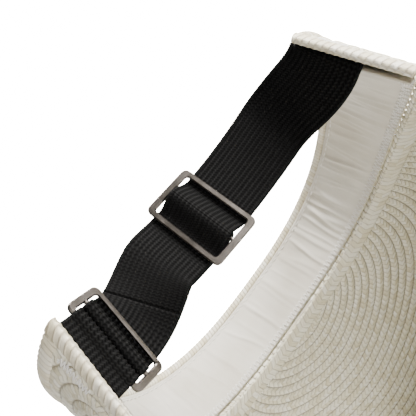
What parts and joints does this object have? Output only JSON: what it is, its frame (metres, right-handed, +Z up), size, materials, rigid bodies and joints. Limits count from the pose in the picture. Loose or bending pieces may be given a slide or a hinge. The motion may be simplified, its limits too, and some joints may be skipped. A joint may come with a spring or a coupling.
{
  "type": "sun visor",
  "caption": "Open-crown sun visor with a braided straw brim and band, cotton sweatband, and an elastic back strap with sliding adjuster.",
  "frame": {"origin": "centre of the plan outline, on the surface that the brim's rim stands on", "axes": "+Z up towards the open crown, -Y towards the front of the brim, +X towards the wearer's left"},
  "size_m": [0.3012, 0.2624, 0.1178],
  "materials": {
    "straw": "matte ivory braid of flattened paper straw",
    "cotton": "off-white woven cotton",
    "elastic": "black ribbed knitted elastic",
    "gunmetal": "satin gunmetal plating",
    "white_thread": "twisted white sewing thread",
    "black_thread": "twisted black sewing thread"
  },
  "bodies": {
    "visor": {"crown_band": "straw", "crown_top_row": "straw", "end_row_right": "straw", "end_row_left": "straw", "brim": "straw", "seam_cover_row": "straw", "brim_edge_row": "straw", "sweatband": "cotton", "sweatband_top_stitch": "white_thread", "sweatband_overlock": "white_thread", "strap_elastic": "elastic", "tab_elastic": "elastic", "strap_bar_tack": "white_thread", "tab_bar_tack": "white_thread"},
    "adjuster": {"strap_slide": "gunmetal", "strap_end_stitch": "black_thread"},
    "joining_link": {"end_slide": "gunmetal"}
  },
  "joints": [
    {"name": "adjuster_travel", "type": "hinge", "parent": "visor", "child": "adjuster", "pos_m": [-0.00779, 0.16543, 0.07227], "axis": [-0.0289, 0.2059, 0.9781], "range_deg": [-17, 5], "deforming": ["strap_elastic"]},
    {"name": "joining_link_tilt", "type": "hinge", "parent": "visor", "child": "joining_link", "pos_m": [0.0505, 0.10354, 0.0788], "axis": [-0.2, 0.4333, 0.8788], "range_deg": [-10, 3], "deforming": ["strap_elastic"]}
  ]
}
